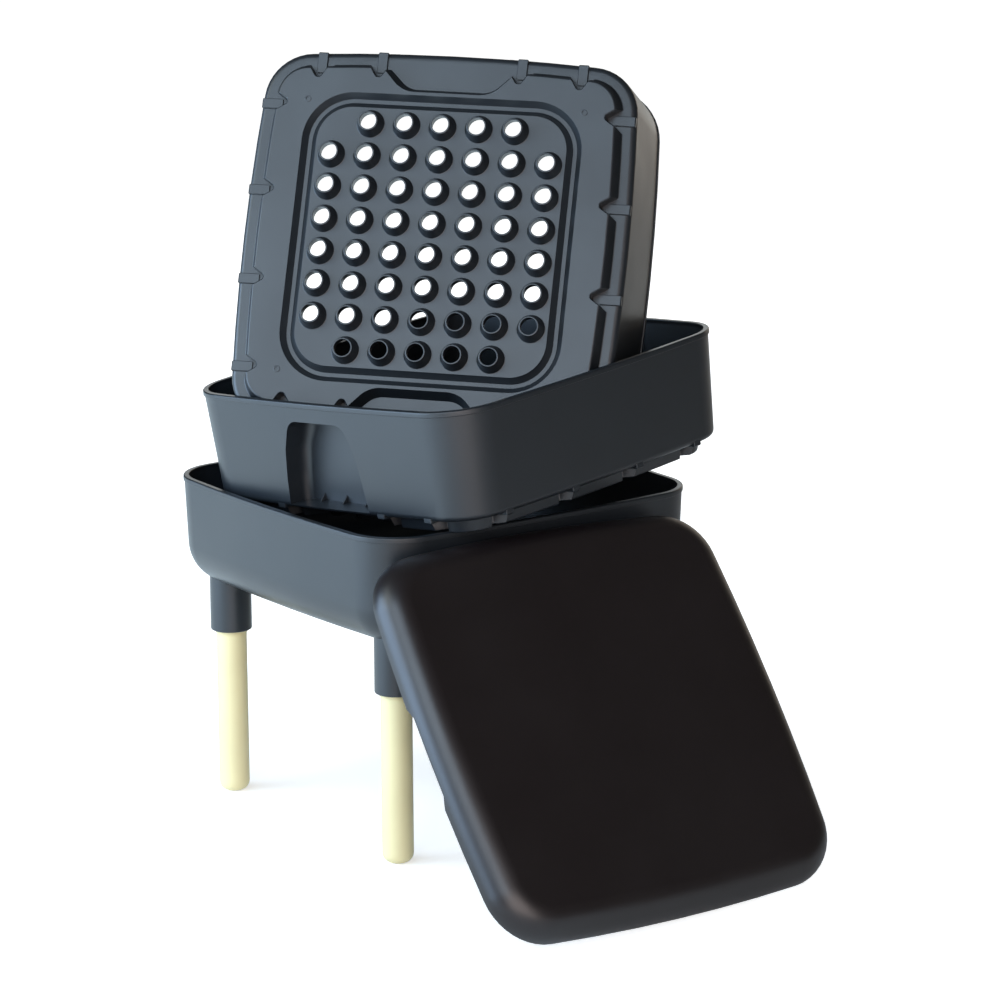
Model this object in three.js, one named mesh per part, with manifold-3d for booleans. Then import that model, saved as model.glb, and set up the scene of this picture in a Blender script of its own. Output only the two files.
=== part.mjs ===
// A stacking worm composter: a tank on four legs with a drain tap, two perforated trays and a lid.
// It is shown opened up. The lower tray stands askew in the tank, the upper tray stands on its edge in the
// lower one with its underside to the front left, and the lid leans on the front wall of the tank.
// Lengths are millimetres. +Z is up, the front is -Y, and the origin is on the ground under the middle of the
// tank.
import * as THREE from "three";
import { mergeVertices, toCreasedNormals } from "three/addons/utils/BufferGeometryUtils.js";
import Module from "manifold-3d";

const wasm = await Module();
wasm.setup();

// Plan outline of the tank, the trays and the lid: a rounded square with slightly crowned sides
const halfWidth = 190;
const cornerShare = 0.2758;
const crownShare = 11.137;
const cornerRadius = halfWidth * cornerShare;
const crownRadius = halfWidth * crownShare;
const smallestCorner = 5;

// Rim lip, walls and clearances
const wall = 3;
const lipWidth = 5.5;
const lipHeight = 5;
const lipRound = 1.2;
const seatGap = 0.3;
const cutOverrun = 2;

// Tank
const rimHeight = 317.8;
const tankDepth = 105.8;
const tankLipProud = 1;
const tankDraft = 4.2;
const tankBottomRound = 48;
const floorFall = 5;
const drainPadHalf = 30;

// Legs and their sockets
const legInset = 49.9;
const legRadius = 14.7;
const legEndRound = 9.5;
const legCollarProud = 1;
const legCollarHeight = 3;
const socketRadius = 20;
const socketMouth = 163;

// Tray: wall, ledge and foot
const trayHeight = 103.5;
const trayLipProud = 1.3;
const trayDraft = 5.4;
const trayWallFoot = 6;
const footDepth = 14;
const ledgeWidth = 20;
const footTopHalf = halfWidth - ledgeWidth;
const footDraft = 4.4;
const footEdge = 2;

// Tray: the groove in its floor, and the nozzle field inside the groove
const grooveInsetX = 39;
const grooveInsetY = 34;
const grooveHalfX = footTopHalf - grooveInsetX;
const grooveHalfY = footTopHalf - grooveInsetY;
const nozzleColumns = 7;
const nozzleRows = 8;
const columnShare = 0.2634;
const rowShare = 0.2279;
const columnPitch = grooveHalfX * columnShare;
const rowPitch = grooveHalfY * rowShare;
const nozzleLength = 14;
const nozzleBaseShare = 0.429;
const nozzleTipShare = 0.3065;
const nozzleBoreShare = 0.2452;
const grooveCorner = 45;
const grooveWidth = 9;
const grooveDepth = 2.2;

// Tray: ribs under the ledge and the pockets in the edge of the foot, at the same places
const ribWidth = 9.5;
const ribDrop = 2;
const ribProud = 0.5;
const ribRise = 3.2;
const ribReach = 7;
const ribSharesOnPlainSides = [0.2263, 0.6684];
const ribSharesOnGripSides = [0.3526, 0.6579];
const pocketHalfWidth = 13;
const pocketDepth = 15;

// Tray: grip recess in the wall and the notch of the foot under it
const gripTopHalf = 36;
const gripBottomHalf = 53;
const gripCorner = 14;
const gripTopBelowRim = 18.5;
const gripDepth = 24;
const gussetPitch = 30;
const gussetSize = 7;
const gussetThickness = 1.6;
const notchDepth = 27.4;
const notchHalf = 39;
const notchShoulderHalf = 62;
const notchMouthHalf = 76;
const notchShoulderDepth = 18;

// Lid
const lidOverhang = 1;
const lidHeight = 28.5;
const lidSkirt = 2;
const lidWall = 2.8;
const guideDrop = 4;
const guideWidth = 2.5;
const guidePlay = 0.6;
const fingerTopHalf = 35;
const fingerEdgeHalf = 50;
const fingerDepth = 7;
const fingerReach = 9;

// Drain tap
const stemRadius = 11;
const stemPlay = 0.4;
const tapBore = 6;
const gasketRadius = 18;
const gasketThickness = 2.5;
const nutSides = 6;
const nutRadius = 19.5;
const nutThickness = 9;
const stemBeyondNut = 4;
const flangeRadius = 20;
const flangeThickness = 4;
const neckLength = 8;
const chamberRadius = 14;
const chamberLength = 34;
const spoutRadius = 9.5;
const spoutLength = 24;
const plugRadius = 8.6;
const plugBore = 5;
const plugHeadRadius = 12;
const plugHeadThickness = 4;
const leverLength = 44;
const leverWidth = 9;
const leverThickness = 4;
const tailRadius = 5;
const retainerRadius = 11;
const retainerThickness = 3.5;

// Where the loose pieces lie, in shares of the half width, and how they are turned about X, Y and Z
const lowerTrayShiftShares = [0.123, -0.156];
const lowerTrayAngles = [-4.784, 4.75, 99.19];
const upperTraySeatShares = [-0.229, -0.0303, 1.1348];
const upperTrayAngles = [-113.653, 1.591, -48.36];
const lidShiftShare = -0.164;
const lidAngles = [52.419, 0.405, -0.926];

// Fineness of the facets
const sideSteps = 2;
const cornerSteps = 5;
const filletSteps = 2;
const roundSides = 12;
const nozzleSides = 6;
const settleSteps = 17;
const creaseAngle = 0.6;

// The most of a profile's straight that one fillet takes, beside another fillet and beside a sharp corner
const sharedFilletShare = 0.49;
const loneFilletShare = 0.98;

const degree = Math.PI / 180;

// Profiles: rows of [across, up], with a fillet radius as third number where a corner is rounded
function rounded(points, steps = filletSteps) {
  const flat = [];
  points.forEach(([x, z, radius], i) => {
    const corner = new THREE.Vector2(x, z);
    if (!radius) {
      flat.push([x, z]);
      return;
    }
    const arms = [points[i - 1], points[i + 1]].map(([px, pz, pr]) => {
      const arm = new THREE.Vector2(px, pz).sub(corner);
      const share = pr ? sharedFilletShare : loneFilletShare;
      return { along: arm.clone().normalize(), room: arm.length() * share };
    });
    const half = Math.acos(arms[0].along.dot(arms[1].along)) / 2;
    const reach = Math.min(radius / Math.tan(half), arms[0].room, arms[1].room);
    const middle = arms[0].along.clone().add(arms[1].along).normalize();
    const centre = middle.multiplyScalar(reach / Math.cos(half)).add(corner);
    const start = arms[0].along.clone().multiplyScalar(reach).add(corner).sub(centre);
    const turn = Math.sign(arms[1].along.cross(arms[0].along)) * (Math.PI - 2 * half);
    for (let s = 0; s <= steps; s++) {
      const point = start.clone().rotateAround(new THREE.Vector2(), (turn * s) / steps).add(centre);
      flat.push([point.x, point.y]);
    }
  });
  return flat;
}

// One closed ring of the plan outline at a given half width and height. Rings are parallel curves of the
// outline, and those too narrow for that are scaled copies of the narrowest parallel one.
function ring(across, up) {
  const offset = crownRadius - halfWidth;
  const diagonal = Math.sqrt(2 * (crownRadius - cornerRadius) ** 2 - offset ** 2);
  const centre = (diagonal - offset) / 2;
  const sideAngle = Math.atan2(centre, centre + offset);
  const inset = Math.min(halfWidth - across, cornerRadius - smallestCorner);
  const scale = across / (halfWidth - inset);
  const quarter = [];
  for (let s = 0; s < sideSteps; s++) {
    const angle = sideAngle * ((2 * s) / sideSteps - 1);
    const reach = crownRadius - inset;
    quarter.push([reach * Math.cos(angle) - offset, reach * Math.sin(angle)]);
  }
  for (let s = 0; s < cornerSteps; s++) {
    const angle = sideAngle + (Math.PI / 2 - 2 * sideAngle) * (s / cornerSteps);
    const reach = cornerRadius - inset;
    quarter.push([centre + reach * Math.cos(angle), centre + reach * Math.sin(angle)]);
  }
  const points = [];
  for (let turn = 0; turn < 4; turn++) {
    const [c, s] = [[1, 0], [0, 1], [-1, 0], [0, -1]][turn];
    quarter.forEach(([x, y]) => points.push([(x * c - y * s) * scale, (x * s + y * c) * scale, up]));
  }
  return points;
}

// How far the crowned side falls back from its middle at a distance along it
function crownDrop(along) {
  return crownRadius - Math.sqrt(crownRadius ** 2 - along ** 2);
}

// A skin round the plan outline, as a lathe makes one round a circle. The profile starts and ends on the
// axis, or closes on itself.
function moulded(profile) {
  const open = profile[0][0] === 0;
  const rings = profile.map(([across, up]) => (across === 0 ? [[0, 0, up]] : ring(across, up)));
  if (!open) rings.push(rings[0]);
  const count = 4 * (sideSteps + cornerSteps);
  const positions = [];
  for (let i = 0; i + 1 < rings.length; i++) {
    const [low, high] = [rings[i], rings[i + 1]];
    for (let j = 0; j < count; j++) {
      const next = (j + 1) % count;
      const a = low[j % low.length];
      const b = low[next % low.length];
      const c = high[next % high.length];
      const d = high[j % high.length];
      if (low.length > 1) positions.push(...a, ...b, ...c);
      if (high.length > 1) positions.push(...a, ...c, ...d);
    }
  }
  const geometry = new THREE.BufferGeometry();
  geometry.setAttribute("position", new THREE.Float32BufferAttribute(positions, 3));
  return geometry;
}

// A turned piece round the Z axis from a profile of [radius, up]
function turned(profile, sides = roundSides) {
  const points = profile.map(([radius, up]) => new THREE.Vector2(radius, up));
  return new THREE.LatheGeometry(points, sides).rotateX(Math.PI / 2);
}

// A disc or ring between two heights, from its outer and inner radius
function washer(outer, inner, low, high, sides = roundSides) {
  if (!inner) return turned([[0, low], [outer, low], [outer, high], [0, high]], sides);
  return turned([[inner, low], [outer, low], [outer, high], [inner, high], [inner, low]], sides);
}

// A flat outline pulled up from one height to another
function pulledUp(outline, low, high) {
  const corners = (points) => points.map((point) => new THREE.Vector2(...point));
  const shape = Array.isArray(outline) ? new THREE.Shape(corners(outline)) : outline;
  const depth = high - low;
  return new THREE.ExtrudeGeometry(shape, { depth, bevelEnabled: false }).translate(0, 0, low);
}

// An outline of [along, up] in the face of a side wall, pulled out from one distance to another along +Y
function pulledOut(outline, near, far) {
  const geometry = pulledUp(outline, near, far);
  return geometry.applyMatrix4(new THREE.Matrix4().set(-1, 0, 0, 0, 0, 0, 1, 0, 0, 1, 0, 0, 0, 0, 0, 1));
}

// A geometry as a solid that can be joined and cut, and back again
function solid(geometry) {
  const bare = geometry.clone();
  bare.deleteAttribute("normal");
  bare.deleteAttribute("uv");
  const merged = mergeVertices(bare);
  const vertProperties = merged.attributes.position.array;
  const triVerts = new Uint32Array(merged.index.array);
  return new wasm.Manifold(new wasm.Mesh({ numProp: 3, vertProperties, triVerts }));
}

function joined(geometries) {
  return geometries.map(solid).reduce((sum, next) => sum.add(next));
}

function geometryOf(body) {
  const { vertProperties, triVerts } = body.getMesh();
  const geometry = new THREE.BufferGeometry();
  geometry.setAttribute("position", new THREE.BufferAttribute(vertProperties, 3));
  geometry.setIndex(new THREE.BufferAttribute(triVerts, 1));
  return toCreasedNormals(geometry, creaseAngle);
}

// The rim lip at the top of a wall: a band that stands proud outside and is bevelled on top
function lipProfile(top, proud) {
  return [
    [halfWidth - proud, top - lipHeight],
    [halfWidth, top - lipHeight],
    [halfWidth, top - lipRound],
    [halfWidth - lipRound, top],
  ];
}

// Tank with its four sockets and the drain hole
function tankGeometry() {
  const bottom = rimHeight - tankDepth;
  const top = halfWidth - tankLipProud;
  const outside = moulded(rounded([
    [0, bottom - floorFall],
    [drainPadHalf, bottom - floorFall],
    [top - tankDraft - tankBottomRound, bottom],
    [top - tankDraft, bottom, tankBottomRound - wall],
    ...lipProfile(rimHeight, tankLipProud),
    [0, rimHeight],
  ], 2 * filletSteps));
  const inside = moulded(rounded([
    [0, bottom - floorFall + wall],
    [drainPadHalf, bottom - floorFall + wall],
    [top - tankDraft - tankBottomRound, bottom + wall],
    [top - tankDraft - wall, bottom + wall, tankBottomRound - wall],
    [top - wall, rimHeight - lipHeight],
    [halfWidth - lipWidth, rimHeight],
    [halfWidth - lipWidth, rimHeight + cutOverrun],
    [0, rimHeight + cutOverrun],
  ], 2 * filletSteps));
  const tubes = [];
  const bores = [washer(stemRadius + stemPlay, 0, bottom - floorFall - cutOverrun, bottom)];
  legPlaces().forEach(([x, y]) => {
    tubes.push(washer(socketRadius, 0, socketMouth, bottom + tankBottomRound).translate(x, y, 0));
    const boreTop = bottom - floorFall;
    bores.push(washer(legRadius + seatGap, 0, socketMouth - cutOverrun, boreTop).translate(x, y, 0));
  });
  return geometryOf(joined([outside, ...tubes]).subtract(joined([inside, ...bores])));
}

function legPlaces() {
  const place = halfWidth - legInset;
  return [[-1, -1], [1, -1], [-1, 1], [1, 1]].map(([x, y]) => [x * place, y * place]);
}

// Leg: a tube closed by a rounded foot, with a collar that stops it at the mouth of its socket
function legGeometry() {
  const top = rimHeight - tankDepth - floorFall - seatGap;
  const collarTop = socketMouth - seatGap;
  const collarRadius = legRadius + legCollarProud;
  return turned(rounded([
    [0, 0],
    [legRadius, 0, legEndRound],
    [legRadius, collarTop - legCollarHeight],
    [collarRadius, collarTop - legCollarHeight],
    [collarRadius, collarTop],
    [legRadius, collarTop],
    [legRadius, top],
    [legRadius - wall, top],
    [legRadius - wall, legEndRound],
    [0, legEndRound],
  ]));
}

// Places of the nozzles: a grid that leaves out its four corners
function nozzlePlaces() {
  const places = [];
  for (let column = 0; column < nozzleColumns; column++) {
    for (let row = 0; row < nozzleRows; row++) {
      const atEnd = column === 0 || column === nozzleColumns - 1;
      if (atEnd && (row === 0 || row === nozzleRows - 1)) continue;
      const x = (column - (nozzleColumns - 1) / 2) * columnPitch;
      const y = (row - (nozzleRows - 1) / 2) * rowPitch;
      places.push([x, y]);
    }
  }
  return places;
}

// Outline of the groove's edge, inset from the outer one
function grooveOutline(inset) {
  const [x, y, r] = [grooveHalfX - inset, grooveHalfY - inset, grooveCorner - inset];
  const shape = new THREE.Shape();
  shape.absarc(x - r, y - r, r, 0, Math.PI / 2);
  shape.absarc(r - x, y - r, r, Math.PI / 2, Math.PI);
  shape.absarc(r - x, r - y, r, Math.PI, 1.5 * Math.PI);
  shape.absarc(x - r, r - y, r, 1.5 * Math.PI, 2 * Math.PI);
  return new THREE.Shape(shape.getPoints(filletSteps + 1));
}

// The same groove as a flat ring, widened on both sides by a margin
function grooveRing(margin, low, high) {
  const shape = grooveOutline(-margin);
  shape.holes.push(grooveOutline(grooveWidth + margin));
  return pulledUp(shape, low, high);
}

// Outlines on the +Y side, grown by a margin for the skin behind them
function pocketOutline(along, margin) {
  const edge = footTopHalf - crownDrop(along);
  const tip = edge - pocketDepth - margin;
  return [
    [along + pocketHalfWidth + margin, edge + cutOverrun],
    [along - pocketHalfWidth - margin, edge + cutOverrun],
    [along, tip],
  ];
}

function notchOutline(margin) {
  const shape = new THREE.Shape();
  const [floor, shoulder] = [footTopHalf - notchDepth - margin, footTopHalf - notchShoulderDepth - margin];
  const [inner, outer] = [notchHalf + margin / 2, notchShoulderHalf + margin];
  const mouth = notchMouthHalf + margin;
  const edge = footTopHalf + cutOverrun;
  const bend = (inner + outer) / 2;
  shape.moveTo(mouth, edge);
  shape.lineTo(-mouth, edge);
  shape.lineTo(-outer, shoulder);
  shape.quadraticCurveTo(-bend, floor, -inner, floor);
  shape.lineTo(inner, floor);
  shape.quadraticCurveTo(bend, floor, outer, shoulder);
  return new THREE.Shape(shape.getPoints(filletSteps));
}

function gripOutline(margin) {
  const top = trayHeight - gripTopBelowRim + margin;
  const corner = gripCorner + margin;
  return rounded([
    [-gripBottomHalf - margin, wall - margin / 2],
    [gripBottomHalf + margin, wall - margin / 2],
    [gripTopHalf + margin, top, corner],
    [-gripTopHalf - margin, top, corner],
    [-gripBottomHalf - margin, wall - margin / 2],
  ]).slice(0, -1);
}

// A rib under the ledge that wraps round the foot of the wall, on the +Y side
function ribGeometry(along) {
  const drop = crownDrop(along);
  const inner = footTopHalf - ribReach - drop;
  const wallFoot = halfWidth - trayLipProud - trayDraft;
  const outer = wallFoot + ribProud - drop;
  const section = [
    [inner, -ribDrop],
    [outer, -ribDrop],
    [outer, ribRise],
    [inner, wall / 2],
  ];
  const geometry = pulledUp(section, along - ribWidth / 2, along + ribWidth / 2);
  return geometry.applyMatrix4(new THREE.Matrix4().set(0, 0, 1, 0, 1, 0, 0, 0, 0, 1, 0, 0, 0, 0, 0, 1));
}

// A small triangular stiffener at the foot of the grip recess's back wall
function gussetGeometry(along) {
  const back = halfWidth - trayLipProud - trayDraft - gripDepth;
  const section = [
    [back - wall / 2, wall / 2],
    [back + gussetSize, wall / 2],
    [back + gussetSize, wall],
    [back, wall + gussetSize],
    [back - wall / 2, wall + gussetSize],
  ];
  const geometry = pulledUp(section, along - gussetThickness / 2, along + gussetThickness / 2);
  return geometry.applyMatrix4(new THREE.Matrix4().set(0, 0, 1, 0, 1, 0, 0, 0, 0, 1, 0, 0, 0, 0, 0, 1));
}

// Copies of a +Y side's geometries on all the sides that have them
function onSides(geometries, quarterTurns) {
  return quarterTurns.flatMap((turn) => geometries.map((g) => g.clone().rotateZ((turn * Math.PI) / 2)));
}

const gripSides = [0, 2];
const plainSides = [1, 3];

// Distances along a side, to the left and right of its middle, from shares of the half width
function bothWays(shares) {
  return shares.flatMap((share) => [share * halfWidth, -share * halfWidth]);
}

// Tray: its origin is the middle of the ledge's underside, with the rim above and the nozzles below
function trayGeometry() {
  const footFloorHalf = footTopHalf - footDraft;
  const top = halfWidth - trayLipProud;
  const wallFoot = top - trayDraft;
  const outside = solid(moulded(rounded([
    [0, -footDepth],
    [footFloorHalf - footEdge, -footDepth],
    [footFloorHalf, footEdge - footDepth],
    [footTopHalf, 0],
    [wallFoot, 0, trayWallFoot],
    ...lipProfile(trayHeight, trayLipProud),
    [0, trayHeight],
  ])));
  const inside = solid(moulded(rounded([
    [0, wall - footDepth],
    [footFloorHalf - wall, wall - footDepth],
    [footTopHalf - wall, wall],
    [wallFoot - wall, wall, trayWallFoot - wall],
    [top - wall, trayHeight - lipHeight],
    [halfWidth - lipWidth, trayHeight],
    [halfWidth - lipWidth, trayHeight + cutOverrun],
    [0, trayHeight + cutOverrun],
  ])));
  const allRibs = [
    ...onSides(bothWays(ribSharesOnPlainSides).map(ribGeometry), plainSides),
    ...onSides(bothWays(ribSharesOnGripSides).map(ribGeometry), gripSides),
  ];
  const below = -footDepth - cutOverrun;
  const pockets = (margin, low, high) => {
    const at = (along) => pulledUp(pocketOutline(along, margin), low, high);
    return [
      ...onSides(bothWays(ribSharesOnPlainSides).map(at), plainSides),
      ...onSides(bothWays(ribSharesOnGripSides).map(at), gripSides),
      ...onSides([pulledUp(notchOutline(margin), low, high)], gripSides),
    ];
  };
  const recessBack = wallFoot - gripDepth;
  const grips = (margin) => {
    return onSides([pulledOut(gripOutline(margin), recessBack - margin, halfWidth)], gripSides);
  };
  const backing = joined([
    ...pockets(wall, below, wall),
    ...grips(wall),
    grooveRing(wall, below, wall + grooveDepth - footDepth),
  ]).intersect(outside);
  const baseRadius = rowPitch * nozzleBaseShare;
  const nozzles = joined(nozzlePlaces().map(([x, y]) => turned([
    [0, -footDepth - nozzleLength],
    [rowPitch * nozzleTipShare, -footDepth - nozzleLength],
    [baseRadius, -footDepth],
    [baseRadius, wall / 2 - footDepth],
    [0, wall / 2 - footDepth],
  ], nozzleSides).translate(x, y, 0)));
  const nozzleBore = rowPitch * nozzleBoreShare;
  const boreBottom = -footDepth - nozzleLength - cutOverrun;
  const cuts = joined([
    ...pockets(0, below, 0),
    ...grips(0),
    grooveRing(0, below, grooveDepth - footDepth),
    ...nozzlePlaces().map(([x, y]) => washer(nozzleBore, 0, boreBottom, 0, nozzleSides).translate(x, y, 0)),
  ]);
  const gussets = onSides([-1, 0, 1].map((n) => gussetGeometry(n * gussetPitch)), gripSides);
  const skin = outside.subtract(inside).add(backing).add(nozzles).subtract(cuts);
  return geometryOf(skin.add(joined([...allRibs, ...gussets])));
}

// Lid: its origin is the middle of the skirt's lower edge
function lidGeometry() {
  const lidHalfWidth = halfWidth + lidOverhang;
  const shell = moulded(rounded([
    [0, lidHeight - lidWall],
    [lidHalfWidth - lidWall, lidHeight - lidWall, lidHeight - lidSkirt - lidWall],
    [lidHalfWidth - lidWall, 0],
    [lidHalfWidth, 0],
    [lidHalfWidth, lidHeight, lidHeight - lidSkirt],
    [0, lidHeight],
  ], 2 * filletSteps));
  const guideOuter = halfWidth - lipWidth - guidePlay;
  const guideMiddle = guideOuter - guideWidth / 2;
  const edgeRound = lidHeight - lidSkirt;
  const guideIn = guideMiddle - (lidHalfWidth - edgeRound);
  const guideTop = lidSkirt + Math.sqrt((edgeRound - lidWall / 2) ** 2 - guideIn ** 2);
  const guide = moulded([
    [guideOuter - guideWidth, -guideDrop],
    [guideOuter, -guideDrop],
    [guideOuter, guideTop],
    [guideOuter - guideWidth, guideTop],
  ]);
  const finger = pulledOut([
    [-fingerEdgeHalf, -cutOverrun],
    [fingerEdgeHalf, -cutOverrun],
    [fingerEdgeHalf, 0],
    [fingerTopHalf, fingerDepth],
    [-fingerTopHalf, fingerDepth],
    [-fingerEdgeHalf, 0],
  ], guideOuter + guidePlay, lidHalfWidth + fingerReach);
  return geometryOf(joined([shell, guide]).subtract(joined(onSides([finger], plainSides))));
}

// Tap: heights of its stack, from the tank's floor outwards
const floorUnderside = rimHeight - tankDepth - floorFall;
const outerGasketTop = floorUnderside - seatGap;
const flangeTop = outerGasketTop - gasketThickness - seatGap;
const innerGasketLow = floorUnderside + wall + seatGap;
const nutLow = innerGasketLow + gasketThickness + seatGap;
const stemTop = nutLow + nutThickness + stemBeyondNut;
const chamberMiddle = flangeTop - flangeThickness - neckLength - chamberRadius;
const spoutEnd = chamberMiddle - chamberRadius - spoutLength;

function tapBodyGeometry() {
  const chamberHalf = chamberLength / 2;
  const upright = turned([
    [0, spoutEnd],
    [spoutRadius - stemPlay, spoutEnd],
    [spoutRadius, chamberMiddle],
    [stemRadius, flangeTop - flangeThickness],
    [flangeRadius, flangeTop - flangeThickness],
    [flangeRadius, flangeTop],
    [stemRadius, flangeTop],
    [stemRadius, stemTop],
    [0, stemTop],
  ]);
  const barrel = washer(chamberRadius, 0, -chamberHalf, chamberHalf);
  const seatRadius = (plugRadius + seatGap) / Math.cos(Math.PI / roundSides);
  const seat = washer(seatRadius, 0, -chamberHalf - cutOverrun, chamberHalf + cutOverrun);
  const lying = [barrel, seat].map((g) => g.rotateX(Math.PI / 2).translate(0, 0, chamberMiddle));
  const waterway = washer(tapBore, 0, spoutEnd - cutOverrun, stemTop + cutOverrun);
  return geometryOf(joined([upright, lying[0]]).subtract(joined([waterway, lying[1]])));
}

// Plug: built along +Z from its tail to its head, then laid down so that the head faces the front
function tapPlugGeometry() {
  const chamberHalf = chamberLength / 2;
  const headLow = chamberHalf + seatGap;
  const headTop = headLow + plugHeadThickness;
  const tailEnd = -chamberHalf - seatGap - retainerThickness;
  const body = turned([
    [0, tailEnd],
    [tailRadius, tailEnd],
    [tailRadius, -chamberHalf],
    [plugRadius, -chamberHalf],
    [plugRadius, headLow],
    [plugHeadRadius, headLow],
    [plugHeadRadius, headTop],
    [0, headTop],
  ]);
  const lever = pulledUp([
    [-plugHeadRadius, -leverWidth / 2],
    [leverLength - leverWidth / 2, -leverWidth / 2],
    [leverLength, 0],
    [leverLength - leverWidth / 2, leverWidth / 2],
    [-plugHeadRadius, leverWidth / 2],
  ], headTop - leverThickness / 2, headTop + leverThickness / 2);
  const boreHalf = plugRadius + cutOverrun;
  const crossBore = washer(plugBore, 0, -boreHalf, boreHalf).rotateY(Math.PI / 2);
  return geometryOf(joined([body, lever]).subtract(solid(crossBore)));
}

function tapRetainerGeometry() {
  const low = -chamberLength / 2 - seatGap - retainerThickness;
  return washer(retainerRadius, tailRadius + seatGap, low, low + retainerThickness);
}

// Finishes: charcoal mouldings, cream legs, a darker tap and rubber washers
const finishes = {
  charcoal: { color: 0x2e3338, roughness: 0.5, metalness: 0 },
  charcoalLid: { color: 0x231f20, roughness: 0.55, metalness: 0 },
  cream: { color: 0xe9dfb0, roughness: 0.45, metalness: 0 },
  tapBlack: { color: 0x1c1e20, roughness: 0.4, metalness: 0 },
  rubber: { color: 0x151515, roughness: 0.85, metalness: 0 },
};

function piece(name, geometry, finish) {
  const mesh = new THREE.Mesh(geometry, new THREE.MeshStandardMaterial(finishes[finish]));
  mesh.name = name;
  return mesh;
}

// Turns a loose piece by its angles about X, Y and Z
function turnTo(mesh, angles) {
  const [x, y, z] = angles.map((angle) => angle * degree);
  mesh.rotation.set(x, y, z, "ZYX");
}

function inPlace(mesh) {
  mesh.updateMatrixWorld(true);
  return solid(mesh.geometry.clone().applyMatrix4(mesh.matrixWorld));
}

// Slides a piece from a clear place along a direction until it meets another, and leaves the seat gap
function settle(mesh, direction, travel, support) {
  const start = mesh.position.clone();
  const standing = inPlace(support);
  let [clear, met] = [0, travel];
  for (let step = 0; step < settleSteps; step++) {
    const middle = (clear + met) / 2;
    mesh.position.copy(start).addScaledVector(direction, middle);
    if (inPlace(mesh).intersect(standing).isEmpty()) clear = middle;
    else met = middle;
  }
  mesh.position.copy(start).addScaledVector(direction, clear - seatGap);
}

const wormery = new THREE.Group();

const tank = piece("base_tank", tankGeometry(), "charcoal");
wormery.add(tank);

const legNames = ["leg_front_left", "leg_front_right", "leg_back_left", "leg_back_right"];
legPlaces().forEach(([x, y], i) => {
  const leg = piece(legNames[i], legGeometry(), "cream");
  leg.position.set(x, y, 0);
  wormery.add(leg);
});

// The tap hangs from the middle of the tank's floor, between its two gaskets
const stemHole = stemRadius + stemPlay;
const tapBody = piece("tap_body", tapBodyGeometry(), "tapBlack");
const gasketLow = outerGasketTop - gasketThickness;
const outerGasket = washer(gasketRadius, stemHole, gasketLow, outerGasketTop);
const innerGasket = washer(gasketRadius, stemHole, innerGasketLow, innerGasketLow + gasketThickness);
const nutHex = solid(washer(nutRadius, 0, nutLow, nutLow + nutThickness, nutSides));
const nut = nutHex.subtract(solid(washer(stemHole, 0, nutLow - cutOverrun, stemTop)));
wormery.add(
  tapBody,
  piece("tap_gasket_outer", outerGasket, "rubber"),
  piece("tap_gasket_inner", innerGasket, "rubber"),
  piece("tap_nut", geometryOf(nut), "tapBlack"),
);
const valve = new THREE.Group();
valve.position.set(0, 0, chamberMiddle);
valve.rotation.x = Math.PI / 2;
valve.add(piece("tap_plug", tapPlugGeometry(), "tapBlack"));
valve.add(piece("tap_retainer", tapRetainerGeometry(), "tapBlack"));
wormery.add(valve);

// The lower tray is let down on the tank's rim. The upper one slides on its edge into the lower one.
const down = new THREE.Vector3(0, 0, -1);
const oneTray = trayGeometry();
const lowerTray = piece("lower_tray", oneTray, "charcoal");
turnTo(lowerTray, lowerTrayAngles);
lowerTray.position.set(...lowerTrayShiftShares.map((share) => share * halfWidth), rimHeight + halfWidth);
settle(lowerTray, down, halfWidth, tank);
const upperTray = piece("upper_tray", oneTray.clone(), "charcoal");
turnTo(upperTray, upperTrayAngles);
const ownDown = new THREE.Vector3(0, 1, 0).applyEuler(upperTray.rotation);
const seat = new THREE.Vector3(...upperTraySeatShares).multiplyScalar(halfWidth).add(lowerTray.position);
upperTray.position.copy(seat).addScaledVector(ownDown, -halfWidth);
settle(upperTray, ownDown, 2 * halfWidth, lowerTray);
wormery.add(lowerTray, upperTray);

// The lid stands on its edge on the ground and leans back on the tank's front wall
const lid = piece("lid", lidGeometry(), "charcoalLid");
turnTo(lid, lidAngles);
lid.updateMatrixWorld(true);
const lidFoot = new THREE.Box3().setFromObject(lid, true).min.z;
lid.position.set(lidShiftShare * halfWidth, -3 * halfWidth, -lidFoot);
settle(lid, new THREE.Vector3(0, 1, 0), 2 * halfWidth, tank);
wormery.add(lid);

export default wormery;
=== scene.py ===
import math

import bmesh
import bpy
from mathutils import Euler, Matrix, Vector


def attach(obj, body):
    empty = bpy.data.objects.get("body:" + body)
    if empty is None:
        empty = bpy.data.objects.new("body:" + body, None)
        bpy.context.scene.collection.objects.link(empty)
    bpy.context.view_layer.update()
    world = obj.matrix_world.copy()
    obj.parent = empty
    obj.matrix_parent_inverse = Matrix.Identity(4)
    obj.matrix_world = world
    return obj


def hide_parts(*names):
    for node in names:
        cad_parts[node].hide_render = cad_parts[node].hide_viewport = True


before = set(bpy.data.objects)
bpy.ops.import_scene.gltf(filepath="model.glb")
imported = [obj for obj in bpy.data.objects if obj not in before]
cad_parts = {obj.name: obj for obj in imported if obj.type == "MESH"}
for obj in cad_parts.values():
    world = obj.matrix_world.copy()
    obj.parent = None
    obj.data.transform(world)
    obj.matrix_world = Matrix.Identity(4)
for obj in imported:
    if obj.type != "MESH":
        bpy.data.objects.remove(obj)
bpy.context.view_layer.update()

# Camera. It stands to the front left of the set and a little above it, and looks at it through a long lens,
# so that upright edges stay nearly parallel.
camera_data = bpy.data.cameras.new("camera")
camera_data.sensor_width = 36
camera_data.lens = 144
camera_data.clip_end = 40
camera = bpy.data.objects.new("camera", camera_data)
bpy.context.scene.collection.objects.link(camera)
bpy.context.scene.camera = camera
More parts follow.
